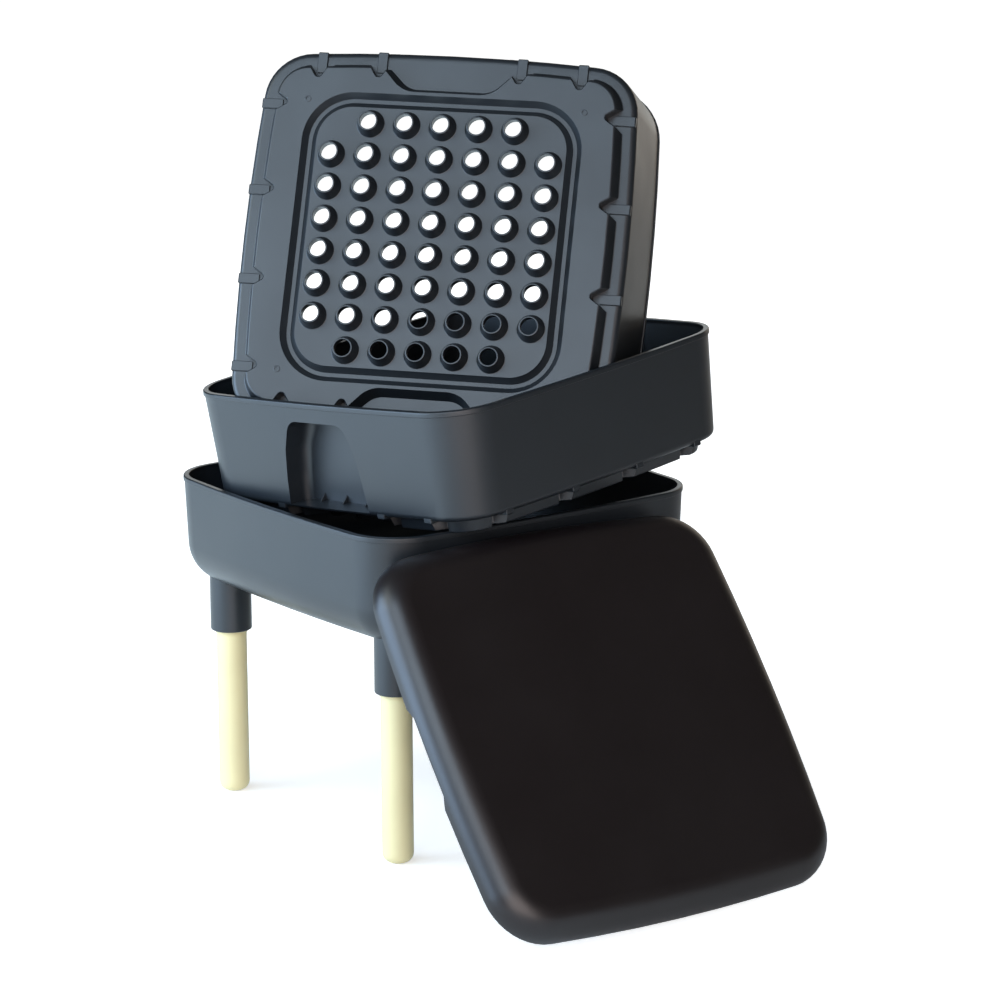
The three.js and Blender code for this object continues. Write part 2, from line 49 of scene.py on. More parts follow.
heading, dip, roll = (math.radians(angle) for angle in (-36.112, 13.379, -0.347))
ahead = Vector((-math.sin(heading) * math.cos(dip), math.cos(heading) * math.cos(dip), -math.sin(dip)))
sideways = Vector((math.cos(heading), math.sin(heading), 0))
upward = sideways.cross(ahead)
level = sideways * math.cos(roll) + upward * math.sin(roll)
plumb = upward * math.cos(roll) - sideways * math.sin(roll)
aside, aim_height, distance = 0.06539, 0.296135, 3.819264
place = sideways * aside + Vector((0, 0, aim_height)) - ahead * distance
camera.matrix_world = Matrix.Translation(place) @ Matrix((level, plumb, -ahead)).transposed().to_4x4()


# Tank. One injection moulding in charcoal polypropylene: a shallow bowl with a drafted wall, a band at its
# rim, a floor that falls to the drain, and four tubes under its corners that the legs are pushed into.
# Its lengths, like those of every piece, are in millimetres until the mesh is finished.
millimetre = 0.001
half_width = 190
corner_radius, least_corner = 52.4, 4
crown_radius = 2116
wall = 3


def plan_ring(across, up, side_steps=6, corner_steps=10):
    """The rounded square that the tank, trays and lid share, as a ring at one half width and height."""
    offset = crown_radius - half_width
    centre = (math.sqrt(2 * (crown_radius - corner_radius) ** 2 - offset**2) - offset) / 2
    side_angle = math.atan2(centre, centre + offset)
    inset = min(half_width - across, corner_radius - least_corner)
    scale = across / (half_width - inset)
    quarter = []
    for step in range(side_steps):
        angle = side_angle * (2 * step / side_steps - 1)
        reach = crown_radius - inset
        quarter.append((reach * math.cos(angle) - offset, reach * math.sin(angle)))
    for step in range(corner_steps):
        angle = side_angle + (math.pi / 2 - 2 * side_angle) * step / corner_steps
        reach = corner_radius - inset
        quarter.append((centre + reach * math.cos(angle), centre + reach * math.sin(angle)))
    ring = []
    for cos, sin in ((1, 0), (0, 1), (-1, 0), (0, -1)):
        ring += [((x * cos - y * sin) * scale, (x * sin + y * cos) * scale, up) for x, y in quarter]
    return ring


def round_ring(radius, up, sides=48):
    """A circle of points."""
    turns = [2 * math.pi * side / sides for side in range(sides)]
    return [(radius * math.cos(turn), radius * math.sin(turn), up) for turn in turns]


def rounded(points, steps=5):
    """A profile with a fillet at each point that gives a radius after its two lengths."""
    flat = []
    for i, point in enumerate(points):
        corner = Vector(point[:2])
        if len(point) < 3:
            flat.append(tuple(corner))
            continue
        arms = []
        for other in (points[i - 1], points[(i + 1) % len(points)]):
            arm = Vector(other[:2]) - corner
            arms.append((arm.normalized(), arm.length * (0.49 if len(other) > 2 else 0.98)))
        half = math.acos(arms[0][0].dot(arms[1][0])) / 2
        reach = min(point[2] / math.tan(half), arms[0][1], arms[1][1])
        middle = (arms[0][0] + arms[1][0]).normalized() * (reach / math.cos(half)) + corner
        start = arms[0][0] * reach + corner - middle
        cross = arms[1][0].x * arms[0][0].y - arms[1][0].y * arms[0][0].x
        turn = math.copysign(math.pi - 2 * half, cross)
        for step in range(steps + 1):
            part = turn * step / steps
            x = start.x * math.cos(part) - start.y * math.sin(part)
            y = start.x * math.sin(part) + start.y * math.cos(part)
            flat.append((x + middle.x, y + middle.y))
    return flat


def blank(stacks):
    """A solid of one or more closed bodies. Each stack is a row of rings that are skinned and capped."""
    mesh = bmesh.new()
    for rings in stacks:
        rows = [[mesh.verts.new(point) for point in ring] for ring in rings]
        for low, high in zip(rows, rows[1:]):
            for i in range(len(low)):
                j = (i + 1) % len(low)
                mesh.faces.new((low[i], low[j], high[j], high[i]))
        mesh.faces.new(rows[0])
        mesh.faces.new(rows[-1])
    bmesh.ops.recalc_face_normals(mesh, faces=mesh.faces)
    data = bpy.data.meshes.new("blank")
    mesh.to_mesh(data)
    mesh.free()
    body = bpy.data.objects.new("blank", data)
    bpy.context.scene.collection.objects.link(body)
    return body


def work(body, operation, tool, keep=False):
    """Joins the tool to the body, cuts it out of the body, or keeps what they share."""
    cut = body.modifiers.new("work", "BOOLEAN")
    cut.operation = operation
    cut.solver = "MANIFOLD"
    cut.object = tool
    graph = bpy.context.evaluated_depsgraph_get()
    worked = bpy.data.meshes.new_from_object(body.evaluated_get(graph))
    body.modifiers.clear()
    spent = body.data
    body.data = worked
    bpy.data.meshes.remove(spent)
    if not keep:
        bpy.data.meshes.remove(tool.data)


def moulded(profile):
    """A blank whose rings follow the plan."""
    return blank([[plan_ring(across, up) for across, up in profile]])


def turned(profile, places=((0, 0),), sides=48):
    """Round blanks, one at each place."""
    stacks = []
    for x, y in places:
        rings = [round_ring(radius, up, sides) for radius, up in profile]
        stacks.append([[(px + x, py + y, pz) for px, py, pz in ring] for ring in rings])
    return blank(stacks)


def finished(name, body, body_name, material, place=Matrix()):
    """Makes a worked blank a piece of the set: in metres, in its place, with crisp flats and soft rounds."""
    weld, crease = 0.004, math.radians(32)
    mesh = bmesh.new()
    mesh.from_mesh(body.data)
    bmesh.ops.remove_doubles(mesh, verts=mesh.verts, dist=weld)
    bmesh.ops.dissolve_degenerate(mesh, dist=weld, edges=mesh.edges)
    mesh.transform(place @ Matrix.Scale(millimetre, 4))
    for face in mesh.faces:
        face.smooth = True
    for edge in mesh.edges:
        edge.smooth = edge.calc_face_angle(math.pi) < crease
    mesh.to_mesh(body.data)
    mesh.free()
    body.name = body.data.name = name
    body.data.materials.clear()
    body.data.materials.append(material)
    even = body.modifiers.new("even shading", "WEIGHTED_NORMAL")
    even.keep_sharp = True
    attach(body, body_name)
    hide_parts(name.replace("_moulding", ""))


def plastic(name, colour, roughness, grain, clouding=0.06, gloss=0.5):
    """Moulded plastic: a colour that clouds slightly, a fine cast grain, and handling marks in its gloss."""
    material = bpy.data.materials.new(name)
    material.use_nodes = True
    nodes, links = material.node_tree.nodes, material.node_tree.links
    shader = nodes["Principled BSDF"]
    shader.inputs["Specular IOR Level"].default_value = gloss
    where = nodes.new("ShaderNodeTexCoord").outputs["Object"]

    def noise(scale, detail):
        node = nodes.new("ShaderNodeTexNoise")
        node.inputs["Scale"].default_value = scale
        node.inputs["Detail"].default_value = detail
        links.new(where, node.inputs["Vector"])
        return node.outputs["Fac"]

    def spread(value, low, high):
        node = nodes.new("ShaderNodeMapRange")
        node.inputs["From Min"].default_value = 0.3
        node.inputs["From Max"].default_value = 0.7
        node.inputs["To Min"].default_value = low
        node.inputs["To Max"].default_value = high
        links.new(value, node.inputs["Value"])
        return node.outputs["Result"]

    clouds, marks, cast_grain = noise(14, 4), noise(9, 6), noise(1400, 3)
    tint = nodes.new("ShaderNodeMix")
    tint.data_type = "RGBA"
    tint.inputs["A"].default_value = [c * (1 - clouding) for c in colour] + [1]
    tint.inputs["B"].default_value = [c * (1 + clouding) for c in colour] + [1]
    links.new(spread(clouds, 0, 1), tint.inputs["Factor"])
    links.new(tint.outputs["Result"], shader.inputs["Base Color"])
    links.new(spread(marks, roughness - 0.04, roughness + 0.05), shader.inputs["Roughness"])
    bump = nodes.new("ShaderNodeBump")
    bump.inputs["Strength"].default_value = grain
    bump.inputs["Distance"].default_value = 0.0002
    links.new(cast_grain, bump.inputs["Height"])
    links.new(bump.outputs["Normal"], shader.inputs["Normal"])
    return material


charcoal = plastic("charcoal plastic", (0.0105, 0.0142, 0.0182), 0.37, 0.2, gloss=0.66)

rim_height, tank_band = 317.8, 1
floor_height, floor_edge, tank_draft = 212, half_width - 53.2, 5.2
drain_height, drain_flat, drain_bore = 207, 30, 11.4
lip_height, lip_width = 5, 5.5
socket_mouth, tube_radius, tube_core = 163, 20, 17
leg_radius, leg_slack, lead_in = 14.7, 0.3, 1
corner_place = 140.1
corners = [(x * corner_place, y * corner_place) for x, y in ((-1, -1), (1, -1), (-1, 1), (1, 1))]
overrun = 2


def lip(top, proud):
    """The band at the top of a wall, as the end of an outside profile."""
    return [
        (half_width - proud, top - lip_height, 0.4),
        (half_width, top - lip_height, 0.6),
        (half_width, top, 1.4),
        (half_width - lip_width, top),
    ]


def mouth(top, proud):
    """The inside of a wall behind its band, as the end of an inside profile."""
    brink = half_width - lip_width + 0.7
    return [
        (half_width - proud - wall, top - lip_height),
        (half_width - lip_width, top - 1, 1),
        (brink, top + 1),
        (brink, top + 1 + overrun),
    ]


tank = moulded(rounded([
    (drain_flat, drain_height),
    (floor_edge, floor_height),
    (half_width - tank_draft, floor_height, 40),
    *lip(rim_height, tank_band),
], 10))
tube_top = floor_height + 36
tubes = turned(rounded([
    (tube_core, socket_mouth),
    (tube_radius, socket_mouth, 1.2),
    (tube_radius, tube_top),
    (tube_core, tube_top),
]), corners)
work(tank, "UNION", tubes)
work(tank, "DIFFERENCE", moulded(rounded([
    (drain_flat, drain_height + wall),
    (floor_edge, floor_height + wall),
    (half_width - tank_draft - wall, floor_height + wall, 38),
    *mouth(rim_height, tank_band),
], 10)))
socket = leg_radius + leg_slack
work(tank, "DIFFERENCE", turned([
    (socket + lead_in, socket_mouth - overrun),
    (socket + lead_in, socket_mouth),
    (socket, socket_mouth + lead_in),
    (socket, drain_height),
], corners))
drain_hole = turned([(drain_bore, drain_height - overrun), (drain_bore, floor_height + overrun)])
work(tank, "DIFFERENCE", drain_hole)
finished("base_tank_moulding", tank, "base", charcoal)


# Legs. Cream polypropylene tubes, closed by a rounded foot. Each is pushed into one of the tank's tubes,
# up to a thin collar that lies against the tube's mouth.
leg_wall, foot_thickness, foot_round = 3, 10, 9.5
collar, gap = 1, 0.3
cream = plastic("cream plastic", (0.84, 0.745, 0.42), 0.42, 0.12, 0.03)
for name, (x, y) in zip(("leg_front_left", "leg_front_right", "leg_back_left", "leg_back_right"), corners):
    leg = turned(rounded([
        (leg_radius - foot_round, 0),
        (leg_radius, 0, foot_round),
        (leg_radius, socket_mouth - 3.3),
        (leg_radius + collar, socket_mouth - 2.9, 0.5),
        (leg_radius + collar, socket_mouth - gap, 0.3),
        (leg_radius, socket_mouth - gap),
        (leg_radius, drain_height - gap),
        (leg_radius - leg_wall, drain_height - gap),
        (leg_radius - leg_wall, foot_thickness),
    ]), [(x, y)])
    finished(name + "_moulding", leg, "base", cream)


# Drain tap. A black plastic body, whose threaded stem goes up through the tank's floor between two rubber
# washers and takes a hexagonal nut. A plug with a lever turns across the body, and a snap ring holds it in.
tap_black = plastic("tap plastic", (0.013, 0.014, 0.015), 0.36, 0.12)
rubber = plastic("rubber", (0.010, 0.010, 0.010), 0.75, 0.5)
chamber_height, chamber_radius, chamber_half = 177.9, 14, 17
flange_top, flange_radius = 203.9, 20
stem_top, stem_radius, thread_crest = 226.1, 10.2, 10.95
spout_bottom, tap_bore = 139.9, 6
plug_bore, plug_radius = 8.9, 8.6


def threaded(core, crest, low, high, pitch=2.5, sides=48):
    """A screw thread: a round bar whose surface climbs in a spiral and runs out at the top."""
    rings = []
    steps = round((high - low) / pitch * 8)
    for step in range(steps + 1):
        up = low + (high - low) * step / steps
        height = (crest - core) * min(1, (high - up) / pitch)
        ring = []
        for side in range(sides):
            phase = ((up - low) / pitch - side / sides) % 1
            radius = core + height * min(1, max(0, 1.6 - abs(phase - 0.5) * 4))
            turn = 2 * math.pi * side / sides
            ring.append((radius * math.cos(turn), radius * math.sin(turn), up))
        rings.append(ring)
    return blank([rings])


def laid(body):
    """Lays a body that was built upright along the front-to-back line of the plug."""
    body.data.transform(Matrix.Translation((0, 0, chamber_height)) @ Matrix.Rotation(math.pi / 2, 4, "X"))
    return body


def grown(outline, by):
    """A closed outline of (along, across) points moved outwards all round."""
    area = sum(a[0] * b[1] - b[0] * a[1] for a, b in zip(outline, outline[1:] + outline[:1]))
    sign = math.copysign(1, area)
    moved = []
    for before, point, after in zip(outline[-1:] + outline[:-1], outline, outline[1:] + outline[:1]):
        first = (Vector(point) - Vector(before)).normalized()
        second = (Vector(after) - Vector(point)).normalized()
        normal = Vector((first.y + second.y, -first.x - second.x)) * sign
        normal *= 2 * by / max(normal.length_squared, 0.8)
        moved.append((point[0] + normal.x, point[1] + normal.y))
    return moved


def pulled(outline, levels, turn=None):
    """The rings of a body pulled from an outline. Each level gives a height and how far the outline grows."""
    rings = [[(x, y, height) for x, y in grown(outline, growth)] for height, growth in levels]
    if turn:
        rings = [[turn(*point) for point in ring] for ring in rings]
    return rings


tap = turned(rounded([
    (8, spout_bottom),
    (9.1, spout_bottom, 0.5),
    (9.3, 144, 0.6),
    (8.6, 146, 0.6),
    (9.4, chamber_height, 3),
    (10.9, flange_top - 4.5, 2.5),
    (18.5, flange_top - 4),
    (flange_radius, flange_top - 2.8, 0.8),
    (flange_radius, flange_top, 0.4),
    (stem_radius, flange_top),
    (stem_radius, flange_top + 3),
], 4))
work(tap, "UNION", threaded(stem_radius, thread_crest, flange_top - 1, stem_top))
work(tap, "UNION", laid(turned(rounded([
    (12, -chamber_half),
    (chamber_radius, -chamber_half, 0.8),
    (chamber_radius, -13, 0.4),
    (chamber_radius - 0.6, -12.4, 0.4),
    (chamber_radius - 0.6, 12.4, 0.4),
    (chamber_radius, 13, 0.4),
    (chamber_radius, chamber_half, 0.8),
    (12, chamber_half),
], 3))))
work(tap, "DIFFERENCE", turned([
    (tap_bore + 1, spout_bottom - 0.9),
    (tap_bore + 0.6, spout_bottom + 0.5),
    (tap_bore, spout_bottom + 1.1),
    (tap_bore, stem_top - 0.8),
    (tap_bore + 0.8, stem_top + 1),
]))
plug_seat = turned([(plug_bore, -chamber_half - overrun), (plug_bore, chamber_half + overrun)])
work(tap, "DIFFERENCE", laid(plug_seat))
finished("tap_body_moulding", tap, "base", tap_black)

nut_low, nut_high, nut_radius = 213.1, 222.1, 19.4
nut = blank([[round_ring(nut_radius, up, 6) for up in (nut_low, nut_high)]])
work(nut, "INTERSECT", turned([(17, nut_low), (19, nut_low + 1.1), (19, nut_high - 1.1), (17, nut_high)]))
work(nut, "DIFFERENCE", turned([
    (drain_bore + 1, nut_low - 1.1),
    (drain_bore + 1, nut_low - 0.1),
    (drain_bore, nut_low + 0.9),
    (drain_bore, nut_high - 0.9),
    (drain_bore + 1, nut_high + 0.1),
    (drain_bore + 1, nut_high + 0.9),
]))
finished("tap_nut_moulding", nut, "base", tap_black)
washer_radius, washer_height = 18, 2.5
for name, low in (("tap_gasket_outer", 204.2), ("tap_gasket_inner", 210.3)):
    high = low + washer_height
    washer = turned(rounded([
        (washer_radius - 1, low),
        (washer_radius, low, 0.6),
        (washer_radius, high, 0.6),
        (washer_radius - 1, high),
    ], 3))
    work(washer, "DIFFERENCE", turned([(drain_bore, low - overrun), (drain_bore, high + overrun)]))
    finished(name + "_moulding", washer, "base", rubber)

ring_front, ring_back = -20.8, -17.3
plug = turned(rounded([
    (4, ring_front),
    (5, ring_front + 0.5, 0.3),
    (5, -chamber_half),
    (plug_radius, -chamber_half, 0.4),
    (plug_radius, chamber_half + gap),
    (12, chamber_half + gap, 0.4),
    (12, 21.3, 1),
    (9, 21.3),
], 3))
lever = rounded([
    (-11, 3.4, 2),
    (12, 4.5, 6),
    (28, 3.7, 8),
    (40, 4.5, 4),
    (43.9, 0, 3),
    (40, -4.5, 4),
    (28, -3.7, 8),
    (12, -4.5, 6),
    (-11, -3.4, 2),
], 4)
work(plug, "UNION", blank([pulled(lever, ((19.3, -0.8), (20, 0), (22.6, 0), (23.3, -0.8)))]))
ridge_half, ridge_reach = 0.6, 2.8
for along in (31, 34, 37, 40):
    back, front = along - ridge_half, along + ridge_half
    ridge = [(back, -ridge_reach), (front, -ridge_reach), (front, ridge_reach), (back, ridge_reach)]
    work(plug, "UNION", blank([pulled(ridge, ((23, 0), (23.4, 0), (23.8, -0.3)))]))
waterway = turned([(5, -10), (5, 10)])
waterway.data.transform(Matrix.Rotation(math.pi / 2, 4, "Y"))
work(plug, "DIFFERENCE", waterway)
finished("tap_plug_moulding", laid(plug), "tap_valve", tap_black)
ring = turned(rounded([(10, ring_front), (11, ring_front, 0.6), (11, ring_back, 0.6), (10, ring_back)], 3))
work(ring, "DIFFERENCE", turned([(5.3, ring_front - overrun), (5.3, ring_back + overrun)]))
split = [(4, -1.4), (12, -1.4), (12, 1.4), (4, 1.4)]
work(ring, "DIFFERENCE", blank([pulled(split, ((ring_front - overrun, 0), (ring_back + overrun, 0)))]))
finished("tap_retainer_moulding", laid(ring), "tap_valve", tap_black)


# Trays. Two equal mouldings in charcoal polypropylene. A drafted wall stands on a ledge, and inside it the
# floor is let down to a foot that locates in the piece below. A sunk groove frames the floor's field of open
# nozzles. Ribs under the ledge, and pockets and notches in the foot's edge, stiffen the tray.
tray_height, tray_band, tray_draft = 103.5, 1.3, 6.7
foot_half, foot_low = 170, 165.6
bottom = -14


def crown_drop(along):
    """How far the crowned side falls back from its middle."""
    return crown_radius - math.sqrt(crown_radius**2 - along**2)


def on_sides(stacks, quarter_turns):
    """Copies of what is built at the +Y side, on the sides that have it."""
    copies = []
    for quarters in quarter_turns:
        spin = Matrix.Rotation(quarters * math.pi / 2, 3, "Z")
        copies += [[[tuple(spin @ Vector(point)) for point in ring] for ring in rings] for rings in stacks]
    return copies


grip_sides, plain_sides = (0, 2), (1, 3)
rib_places = ((plain_sides, (-127, -43, 43, 127)), (grip_sides, (-125, -67, 67, 125)))
pocket_half, pocket_depth = 13, 14


def pockets(margin, levels):
    """V-shaped pockets in the foot's edge, one at each rib."""
    stacks = []
    for sides, places in rib_places:
        here = []
        for along in places:
            edge = foot_half - crown_drop(along)
            outline = rounded([
                (along + pocket_half + margin, edge + 3),
                (along + 2, edge - pocket_depth - margin, 3),
                (along - 2, edge - pocket_depth - margin, 3),
                (along - pocket_half - margin, edge + 3),
            ], 3)
            here.append(pulled(outline, levels))
        stacks += on_sides(here, sides)
    return blank(stacks)


notch_mouth, notch_back, notch_depth, notch_round = 77, 42, 27.4, 26


def notches(margin, levels):
    """The wide notch in the foot's edge under each grip."""
    mouth_half, back_half = notch_mouth + margin, notch_back + margin / 2
    back = foot_half - notch_depth - margin
    outline = rounded([
        (mouth_half, foot_half + 9),
        (back_half, back, notch_round),
        (-back_half, back, notch_round),
        (-mouth_half, foot_half + 9),
    ], 8)
    return blank(on_sides([pulled(outline, levels)], grip_sides))


def outwards(along, up, out):
    """Stands an outline in the wall of the +Y side."""
    return (along, out, up)


grip_depth, grip_bar, grip_round = 24, 18.5, 9


def grips(base, levels):
    """The arched finger recess in the wall of the two grip sides. Its sides bow out and run into its back
    in a broad round: each level gives its distance out and how far the arch is drawn in there."""
    rings = []
    for out, draw in levels:
        top = tray_height - grip_bar - draw
        side = [(53, base), (51, 28, 70), (46.5, 56, 50), (36, top, 15 - draw / 2)]
        right = [(across - draw, up, *radius) for across, up, *radius in side]
        left = [(-across, up, *radius) for across, up, *radius in reversed(right)]
        rings.append([outwards(across, up, out) for across, up in rounded(right + left, 6)])
    return blank(on_sides([rings], grip_sides))


groove_half_x, groove_half_y, groove_corner = 131, 136, 45


def groove_ring(inset, up):
    """A rounded rectangle that runs along the groove."""
    x, y, radius = groove_half_x - inset, groove_half_y - inset, groove_corner - inset
    ring = []
    for quarter in range(4):
        for step in range(13):
            turn = (quarter + step / 12) * math.pi / 2
            middle_x = (x - radius) * (1 if quarter in (0, 3) else -1)
            middle_y = (y - radius) * (1 if quarter in (0, 1) else -1)
            ring.append((middle_x + radius * math.cos(turn), middle_y + radius * math.sin(turn), up))
    return ring


def channel(rows):
    """A closed band along the groove, from a closed section of (inset, up)."""
    mesh = bmesh.new()
    rings = [[mesh.verts.new(point) for point in groove_ring(inset, up)] for inset, up in rows]
    for low, high in zip(rings, rings[1:] + rings[:1]):
        for i in range(len(low)):
            j = (i + 1) % len(low)
            mesh.faces.new((low[i], low[j], high[j], high[i]))
    bmesh.ops.recalc_face_normals(mesh, faces=mesh.faces)
    data = bpy.data.meshes.new("channel")
    mesh.to_mesh(data)
    mesh.free()
    body = bpy.data.objects.new("channel", data)
    bpy.context.scene.collection.objects.link(body)
    return body


nozzle_columns, nozzle_rows = 7, 8
nozzle_step_x, nozzle_step_y = 34.5, 31
nozzle_places = []
for column in range(nozzle_columns):
    for row in range(nozzle_rows):
        if column in (0, nozzle_columns - 1) and row in (0, nozzle_rows - 1):
            continue
        off_column, off_row = column - (nozzle_columns - 1) / 2, row - (nozzle_rows - 1) / 2
        nozzle_places.append((off_column * nozzle_step_x, off_row * nozzle_step_y))

skin = rounded([
    (foot_low - 8, bottom),
    (foot_low, bottom, 2.6),
    (foot_half, 0, 1.6),
    (half_width - tray_draft, 0, 6),
    *lip(tray_height, tray_band),
])
outside, tray = moulded(skin), moulded(skin)
inside = moulded(rounded([
    (foot_low - wall - 8, bottom + wall),
    (foot_low - wall, bottom + wall, 2),
    (foot_half - wall, wall, 1.2),
    (half_width - tray_draft - wall, wall, 3),
    *mouth(tray_height, tray_band),
]))
below = bottom - overrun
recess_back = half_width - tray_draft - grip_depth
backings = [
    pockets(wall, ((below, 0), (wall, 0))),
    notches(wall, ((below, 1), (bottom, 1), (wall, -5))),
    grips(wall / 2, ((recess_back - wall, -wall), (half_width, -wall))),
    channel([
        (-5.2, below), (14.2, below), (14.2, bottom + 2),
        (9, bottom + 9), (0, bottom + 9), (-5.2, bottom + 2),
    ]),
]
work(tray, "DIFFERENCE", inside)
for backing in backings:
    work(backing, "INTERSECT", outside, keep=True)
    work(tray, "UNION", backing)
bpy.data.meshes.remove(outside.data)
tip, tip_bore, nozzle_sides = bottom - 12.5, 7.8, 32
work(tray, "UNION", turned(rounded([
    (14.4, bottom + 1.5),
    (14.4, bottom),
    (12.9, bottom, 1),
    (9.3, tip, 0.5),
    (7, tip),
], 3), nozzle_places, nozzle_sides))
edge_break = 0.9
broken_levels = ((below, edge_break), (bottom, edge_break), (bottom + edge_break, 0), (0, 0))
work(tray, "DIFFERENCE", pockets(0, broken_levels))
work(tray, "DIFFERENCE", notches(0, ((below, 1), (bottom, 1), (0, -5))))
recess_levels = []
for step in range(7):
    turn = step * math.pi / 12
    recess_levels.append((recess_back + grip_round * (1 - math.cos(turn)), grip_round * (1 - math.sin(turn))))
work(tray, "DIFFERENCE", grips(wall, recess_levels + [(half_width + overrun, 0)]))
work(tray, "DIFFERENCE", channel([
    (-2.7, below), (11.7, below), (11.7, bottom), (10.9, bottom + 0.7), (6.9, bottom + 5.6),
    (6.3, bottom + 6), (2.7, bottom + 6), (2.1, bottom + 5.6), (-1.9, bottom + 0.7), (-2.7, bottom),
]))
work(tray, "DIFFERENCE", turned([
    (tip_bore + 0.4, tip - overrun),
    (tip_bore + 0.4, tip),
    (tip_bore, tip + 0.4),
    (10, bottom + wall - 0.6),
    (11, bottom + wall),
    (11, bottom + wall + overrun),
], nozzle_places, nozzle_sides))


rib_half, rib_depth = 4.75, 2


def ribs():
    """Ribs under the ledge, which run from the wall over the pockets."""
    stacks = []
    for sides, places in rib_places:
        here = []
        for along in places:
            drop = crown_drop(along)
            inner, outer = foot_half - 7 - drop, half_width - 7 - drop
            section = [(inner, -rib_depth), (outer - 1, -rib_depth), (outer, 1 - rib_depth), (outer, 3.2)]
            section.append((inner, 1.5))
            first, last = along - rib_half, along + rib_half
            levels = ((first, -0.5), (first + 0.5, 0), (last - 0.5, 0), (last, -0.5))
            here.append(pulled(section, levels, lambda across, up, at: (at, across, up)))
        stacks += on_sides(here, sides)
    return blank(stacks)


gusset_height, gusset_half = 10, 0.8


def gussets():
    """Small webs at the foot of each grip recess."""
    here = []
    for along in (-30, 0, 30):
        section = [
            (recess_back - 1.5, 1.5), (recess_back + 7, 1.5), (recess_back + 7, 3),
            (recess_back, gusset_height), (recess_back - 1.5, gusset_height),
        ]
        levels = ((along - gusset_half, 0), (along + gusset_half, 0))
        here.append(pulled(section, levels, lambda out, up, at: (at, out, up)))
    return blank(on_sides(here, grip_sides))


ejector_marks = [(x * 132, y * 130) for x in (-1, 1) for y in (-1, 1)]
work(tray, "UNION", ribs())
work(tray, "UNION", gussets())
work(tray, "UNION", turned([(3.2, bottom + 1), (3.2, bottom - 0.3), (2.9, bottom - 0.5)], ejector_marks, 24))
work(tray, "DIFFERENCE", turned([(2.1, bottom - 1), (1.9, bottom + 0.4)], ejector_marks, 24))


def standing(angles, where):
    """A piece's place, from its turns about X, Y and Z in degrees and its position in millimetres."""
    turn = Euler([math.radians(angle) for angle in angles], "XYZ").to_matrix().to_4x4()
    return Matrix.Translation(Vector(where) * millimetre) @ turn


second_tray = bpy.data.objects.new("blank", tray.data.copy())
bpy.context.scene.collection.objects.link(second_tray)
for name, body, angles, where in (
    ("lower_tray", tray, (-4.784, 4.75, 99.19), (23.37, -29.64, 334.37)),
    ("upper_tray", second_tray, (-113.653, 1.591, -48.36), (-20.00, -35.29, 550.37)),
):
    tray_place = standing(angles, where)
    finished(name + "_moulding", body, name + "_body", charcoal, place=tray_place)


# Lid. A cover in near-black polypropylene with a broad round edge, a short skirt with a finger notch in two
# of its sides, and a thin guide ring that drops inside the rim below.
lid_black = plastic("lid plastic", (0.0078, 0.0054, 0.006), 0.38, 0.2, gloss=0.66)
lid_half, lid_height, lid_wall, lid_round = 191, 28.5, 2.8, 26
lid_flat, lid_steps = 60, 14
lid = moulded(rounded([
    (lid_half - 0.6, 0),
    (lid_half, 0.6),
    (lid_half, lid_height, lid_round),
    (lid_flat, lid_height),
], lid_steps))
work(lid, "DIFFERENCE", moulded(rounded([
    (lid_half - lid_wall, -overrun),
    (lid_half - lid_wall, lid_height - lid_wall, 23.4),
    (lid_flat, lid_height - lid_wall),
], lid_steps)))
guide_half, guide_inside, guide_low, guide_high = 183.9, 181.4, -4, 12
guide = moulded([(guide_half, guide_low), (guide_half, guide_high)])
guide_core = moulded([(guide_inside, guide_low - overrun), (guide_inside, guide_high + overrun)])
work(guide, "DIFFERENCE", guide_core)
shell = moulded(rounded([
    (lid_half - 2, guide_low - 1),
    (lid_half - 2, 1),
    (lid_half - 1, lid_height - 1, lid_round - 1),
    (lid_flat, lid_height - 1),
], lid_steps))
work(guide, "INTERSECT", shell)
work(lid, "UNION", guide)
mouth_half, top_half, notch_height = 50, 36, 7
notch = rounded([
    (-mouth_half, -5),
    (mouth_half, -5),
    (mouth_half, 0),
    (top_half, notch_height, 5),
    (-top_half, notch_height, 5),
    (-mouth_half, 0),
], 6)
notch_cutter = pulled(notch, ((guide_half + 0.6, 0), (lid_half + 9, 0)), outwards)
work(lid, "DIFFERENCE", blank(on_sides([notch_cutter], plain_sides)))
lid_place = standing((52.419, 0.405, -0.926), (-31.16, -304.81, 151.30))
finished("lid_moulding", lid, "lid_body", lid_black, place=lid_place)


# Studio. A pale floor that fades to white away from the set, and a white backdrop, in a dim warm room. A
# broad low window at the back left, two smaller ones higher up at the left, and three soft lamps at the
# front, right and back light the set. In reflections the floor glows towards the back left, as if sunlit.
floor_data = bpy.data.meshes.new("floor")
floor_mesh = bmesh.new()
floor_half, floor_drop = 30, 0.0005
bmesh.ops.create_grid(floor_mesh, x_segments=1, y_segments=1, size=floor_half)
floor_mesh.to_mesh(floor_data)
floor_mesh.free()
floor = bpy.data.objects.new("floor", floor_data)
floor.location.z = -floor_drop
bpy.context.scene.collection.objects.link(floor)
pale = bpy.data.materials.new("pale floor")
pale.use_nodes = True
nodes, links = pale.node_tree.nodes, pale.node_tree.links
paint = nodes["Principled BSDF"]
paint.inputs["Base Color"].default_value = (0.84, 0.84, 0.83, 1)
paint.inputs["Roughness"].default_value = 0.9
paint.inputs["Specular IOR Level"].default_value = 0.1
where = nodes.new("ShaderNodeTexCoord").outputs["Object"]


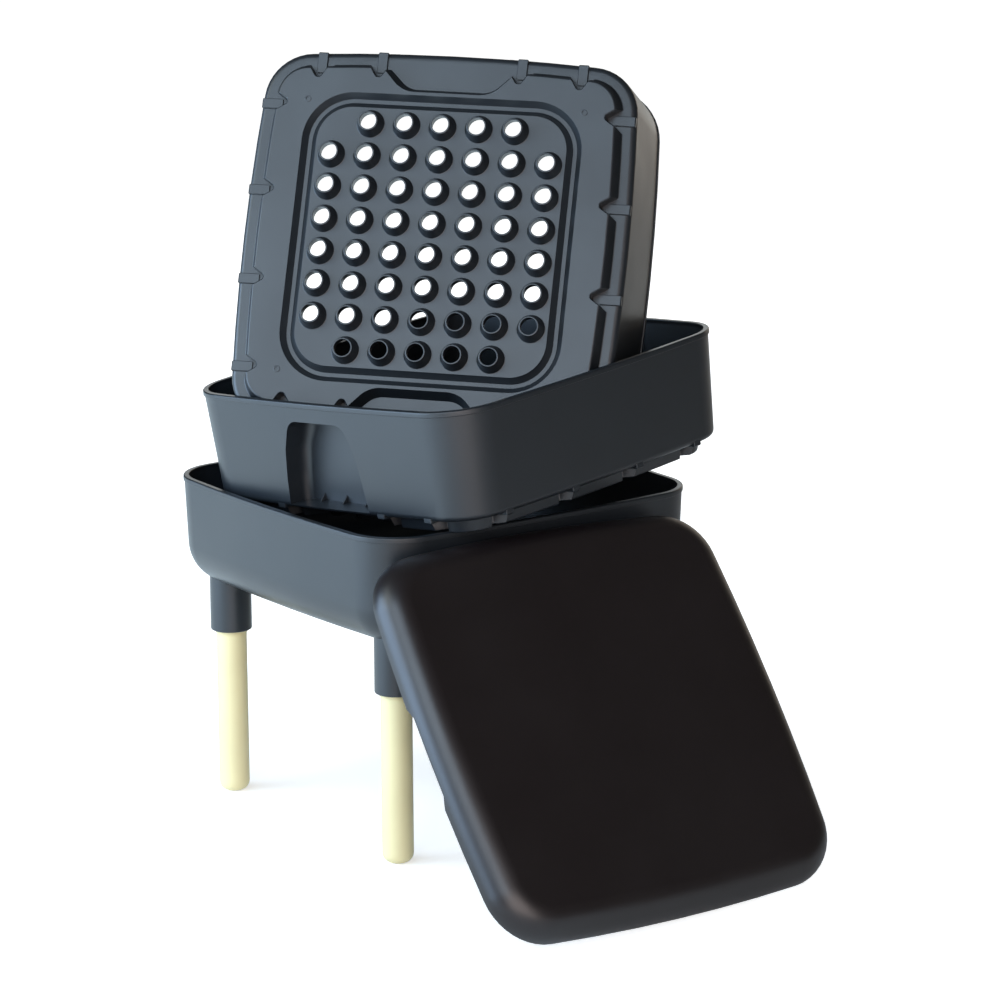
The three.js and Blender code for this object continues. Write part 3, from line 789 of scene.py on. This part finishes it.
def spot(operation, low, high, least, most, aim):
    """A value that goes smoothly from least to most over the floor."""
    measure = nodes.new("ShaderNodeVectorMath")
    measure.operation = operation
    measure.inputs[1].default_value = aim
    links.new(where, measure.inputs[0])
    ramp = nodes.new("ShaderNodeMapRange")
    ramp.interpolation_type = "SMOOTHSTEP"
    for socket, value in zip(("From Min", "From Max", "To Min", "To Max"), (low, high, least, most)):
        ramp.inputs[socket].default_value = value
    links.new(measure.outputs["Value"], ramp.inputs["Value"])
    return ramp.outputs["Result"]


def both(operation, first, second):
    """Two values in one."""
    node = nodes.new("ShaderNodeMath")
    node.operation = operation
    links.new(first, node.inputs[0])
    links.new(second, node.inputs[1])
    return node.outputs[0]


ray = nodes.new("ShaderNodeLightPath").outputs
direct = both("ADD", ray["Is Camera Ray"], ray["Is Transmission Ray"])
surface = paint.outputs[0]
for kind, strength, colour in (
    (direct, spot("DISTANCE", 0.2, 0.7, 0.55, 1, (-0.15, -0.05, 0)), (0.99, 1, 1, 1)),
    (ray["Is Glossy Ray"], spot("DOT_PRODUCT", -0.6, 0.7, 0, 1, (-0.5, 0.87, 0)), (0.74, 0.94, 1.04, 1)),
):
    glow = nodes.new("ShaderNodeEmission")
    glow.inputs["Color"].default_value = colour
    links.new(both("MULTIPLY", kind, strength), glow.inputs["Strength"])
    lit = nodes.new("ShaderNodeAddShader")
    links.new(surface, lit.inputs[0])
    links.new(glow.outputs[0], lit.inputs[1])
    surface = lit.outputs[0]
links.new(surface, nodes["Material Output"].inputs["Surface"])
floor_data.materials.append(pale)

world = bpy.data.worlds.new("studio")
bpy.context.scene.world = world
world.use_nodes = True
nodes, links = world.node_tree.nodes, world.node_tree.links
room = nodes["Background"]
room.inputs["Color"].default_value = (1, 0.94, 0.86, 1)
room.inputs["Strength"].default_value = 0.08
backdrop = nodes.new("ShaderNodeBackground")
backdrop.inputs["Color"].default_value = (1, 1, 1, 1)
seen = nodes.new("ShaderNodeLightPath")
choice = nodes.new("ShaderNodeMixShader")
links.new(seen.outputs["Is Camera Ray"], choice.inputs["Fac"])
links.new(room.outputs[0], choice.inputs[1])
links.new(backdrop.outputs[0], choice.inputs[2])
links.new(choice.outputs[0], nodes["World Output"].inputs["Surface"])


middle_of_set = Vector((0, -0.1, 0.35))


def lamp(name, where, size, power, colour):
    """A soft rectangular light that faces the set."""
    data = bpy.data.lights.new(name, "AREA")
    data.shape = "RECTANGLE"
    data.size, data.size_y = size
    data.energy = power
    data.color = colour
    light = bpy.data.objects.new(name, data)
    light.location = where
    light.rotation_euler = (middle_of_set - Vector(where)).to_track_quat("-Z", "Y").to_euler()
    bpy.context.scene.collection.objects.link(light)


lamp("low window", (-2.85, 1.2, 0.95), (2.6, 1.8), 100, (0.54, 0.76, 1.06))
lamp("high window", (-2.56, 0.69, 2.14), (1.7, 1.7), 25, (0.9, 1, 0.96))
lamp("side window", (-2.43, -1.23, 2.1), (1.9, 1.7), 44, (0.70, 0.88, 1.06))
lamp("front room", (-1.6, -2.87, 0.95), (2.8, 2.3), 67, (1, 0.88, 0.85))
lamp("right wall", (3.0, 1.2, 0.95), (1.8, 1.7), 9.5, (1, 0.87, 0.73))
lamp("back wall", (1.9, 2.6, 1.3), (1.8, 1.4), 11, (0.95, 1, 1))

bpy.context.scene.view_settings.view_transform = "Standard"
